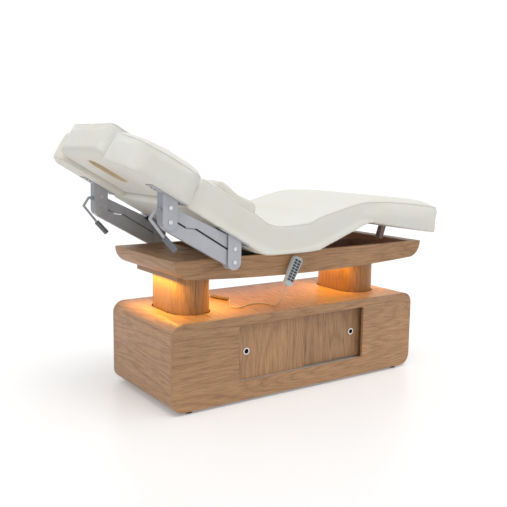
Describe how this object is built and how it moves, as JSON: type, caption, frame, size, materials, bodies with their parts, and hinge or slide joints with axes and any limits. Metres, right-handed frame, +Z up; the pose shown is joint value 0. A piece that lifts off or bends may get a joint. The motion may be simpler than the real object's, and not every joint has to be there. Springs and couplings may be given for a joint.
{
  "type": "facial treatment bed",
  "caption": "Electric facial treatment bed: sectioned mattress with drop-down armrests on a boat-shaped wooden tray, lifted by oval columns from a cabinet with sliding doors.",
  "frame": {"origin": "on the floor, under the middle of the whole bed's bounding box with the backrest raised", "axes": "+Z up, X along the bed with the head at -X, and the client's right hand at -Y"},
  "size_m": [1.9412, 0.86, 1.3225],
  "materials": {
    "veneer": "satin wood-grain foil",
    "tray_veneer": "satin wood-grain foil",
    "inside_board": "plain laminate",
    "under_board": "painted board",
    "upholstery": "smooth soft vinyl over foam",
    "track": "brushed",
    "rubber": "matt",
    "steel": "grey powder coat",
    "frame_steel": "black powder coat",
    "bolt_steel": "zinc plated",
    "pull_steel": "brushed",
    "grip_plastic": "matt",
    "light": "lit amber diffuser",
    "drive_plastic": "matt",
    "phone_plastic": "smooth",
    "key_plastic": "printed film",
    "cord_plastic": "matt",
    "column_skin": "satin wood-grain foil"
  },
  "bodies": {
    "base": {"cabinet_shell": "veneer", "cabinet_front": "veneer", "cabinet_back": "veneer", "storage_box": "inside_board", "feet": "rubber", "door_tracks": "track", "column_outers": "frame_steel", "cord": "cord_plastic", "cord_connector": "cord_plastic"},
    "door_left": {"door_left": "veneer", "door_left_pull": "pull_steel"},
    "door_right": {"door_right": "veneer", "door_right_pull": "pull_steel"},
    "lift": {"tray_sides": "tray_veneer", "tray_pan": "tray_veneer", "tray_top": "inside_board", "column_shrouds": "column_skin", "column_inners": "frame_steel", "led_strips": "light", "tray_frame": "frame_steel", "frame_pins": "bolt_steel", "actuators": "drive_plastic", "seat_board": "under_board", "seat_cushion": "upholstery", "seat_folds": "upholstery", "handset_hook": "drive_plastic"},
    "handset": {"handset_body": "phone_plastic", "handset_keys": "key_plastic"},
    "backrest": {"lower_back_cushion": "upholstery", "head_cushion": "upholstery", "back_board": "under_board", "back_hinge_plate": "steel", "hip_brackets": "steel", "hip_bolts": "bolt_steel"},
    "back_rod": {"back_rod": "bolt_steel"},
    "leg_rod": {"leg_rod": "bolt_steel"},
    "thigh_rest": {"thigh_board": "under_board", "thigh_cushion": "upholstery", "thigh_frame": "steel", "knee_fold": "upholstery", "knee_pin": "bolt_steel"},
    "calf_rest": {"calf_board": "under_board", "calf_cushion": "upholstery", "calf_hinge_plate": "steel", "prop_legs": "inside_board"},
    "pillow": {"pillow": "upholstery"},
    "right_upper_link": {"right_upper_link": "steel"},
    "right_lower_link": {"right_lower_link": "steel"},
    "right_arm": {"right_armrest": "upholstery", "right_arm_bracket": "steel", "right_arm_bolts": "bolt_steel"},
    "right_lever": {"right_lever": "steel", "right_grip": "grip_plastic"},
    "left_upper_link": {"left_upper_link": "steel"},
    "left_lower_link": {"left_lower_link": "steel"},
    "left_arm": {"left_armrest": "upholstery", "left_arm_bracket": "steel", "left_arm_bolts": "bolt_steel"},
    "left_lever": {"left_lever": "steel", "left_grip": "grip_plastic"}
  },
  "joints": [
    {"name": "height_lift", "type": "slide", "parent": "base", "child": "lift", "axis": [0, 0, 1], "range_m": [-0.15, 0.15], "deforming": ["cord"]},
    {"name": "door_left_slide", "type": "slide", "parent": "base", "child": "door_left", "axis": [1, 0, 0], "range_m": [0, 0.4]},
    {"name": "door_right_slide", "type": "slide", "parent": "base", "child": "door_right", "axis": [-1, 0, 0], "range_m": [0, 0.4]},
    {"name": "back_recline", "type": "hinge", "parent": "lift", "child": "backrest", "pos_m": [-0.194, 0, 0.732], "axis": [0, 1, 0], "range_deg": [-30, 30], "deforming": ["seat_folds"]},
    {"name": "back_rod_slide", "type": "slide", "parent": "lift", "child": "back_rod", "axis": [-1, 0, 0], "range_m": [-0.04, 0.045]},
    {"name": "leg_raise", "type": "hinge", "parent": "lift", "child": "thigh_rest", "pos_m": [0.12, 0, 0.729], "axis": [0, -1, 0], "range_deg": [-20, 15], "deforming": ["seat_folds", "knee_fold"]},
    {"name": "leg_rod_slide", "type": "slide", "parent": "lift", "child": "leg_rod", "axis": [1, 0, 0], "range_m": [-0.026, 0.02]},
    {"name": "knee_bend", "type": "hinge", "parent": "thigh_rest", "child": "calf_rest", "pos_m": [0.46538, 0, 0.84726], "axis": [0, -1, 0], "range_deg": [-22.2, 29.5], "deforming": ["knee_fold"]},
    {"name": "right_arm_drop", "type": "hinge", "parent": "backrest", "child": "right_upper_link", "pos_m": [-0.37715, -0.366, 0.77077], "axis": [0, -1, 0], "range_deg": [0, 22]},
    {"name": "right_lower_link_turn", "type": "hinge", "parent": "backrest", "child": "right_lower_link", "pos_m": [-0.37817, -0.366, 0.709], "axis": [0, -1, 0], "range_deg": [-0.5, 22.5]},
    {"name": "right_arm_level", "type": "hinge", "parent": "right_upper_link", "child": "right_arm", "pos_m": [-0.70737, -0.366, 0.97066], "axis": [0, -1, 0], "range_deg": [-22.5, 0.5]},
    {"name": "right_lever_turn", "type": "hinge", "parent": "right_arm", "child": "right_lever", "pos_m": [-0.74994, -0.366, 0.96291], "axis": [0, 1, 0], "range_deg": [0, 25], "stiffness_Nm_per_rad": 1.2, "springref_deg": -20.05},
    {"name": "left_arm_drop", "type": "hinge", "parent": "backrest", "child": "left_upper_link", "pos_m": [-0.37715, 0.366, 0.77077], "axis": [0, -1, 0], "range_deg": [0, 22]},
    {"name": "left_lower_link_turn", "type": "hinge", "parent": "backrest", "child": "left_lower_link", "pos_m": [-0.37817, 0.366, 0.709], "axis": [0, -1, 0], "range_deg": [-0.5, 22.5]},
    {"name": "left_arm_level", "type": "hinge", "parent": "left_upper_link", "child": "left_arm", "pos_m": [-0.70737, 0.366, 0.97066], "axis": [0, -1, 0], "range_deg": [-22.5, 0.5]},
    {"name": "left_lever_turn", "type": "hinge", "parent": "left_arm", "child": "left_lever", "pos_m": [-0.74994, 0.366, 0.96291], "axis": [0, 1, 0], "range_deg": [0, 25], "stiffness_Nm_per_rad": 1.2, "springref_deg": -20.05},
    {"name": "pillow_lift", "type": "slide", "parent": "backrest", "child": "pillow", "axis": [0.5, 0, 0.866], "range_m": [0, 0.15]},
    {"name": "handset_unhook", "type": "slide", "parent": "lift", "child": "handset", "axis": [0, -1, 0], "range_m": [0, 0.12]}
  ],
  "couplings": [
    {"joint": "back_rod_slide", "follows": "back_recline", "m_per_rad": 0.068},
    {"joint": "leg_rod_slide", "follows": "leg_raise", "m_per_rad": 0.065},
    {"joint": "knee_bend", "follows": "leg_raise", "ratio": -1.47},
    {"joint": "right_lower_link_turn", "follows": "right_arm_drop", "ratio": 1},
    {"joint": "right_arm_level", "follows": "right_arm_drop", "ratio": -1},
    {"joint": "left_lower_link_turn", "follows": "left_arm_drop", "ratio": 1},
    {"joint": "left_arm_level", "follows": "left_arm_drop", "ratio": -1}
  ]
}
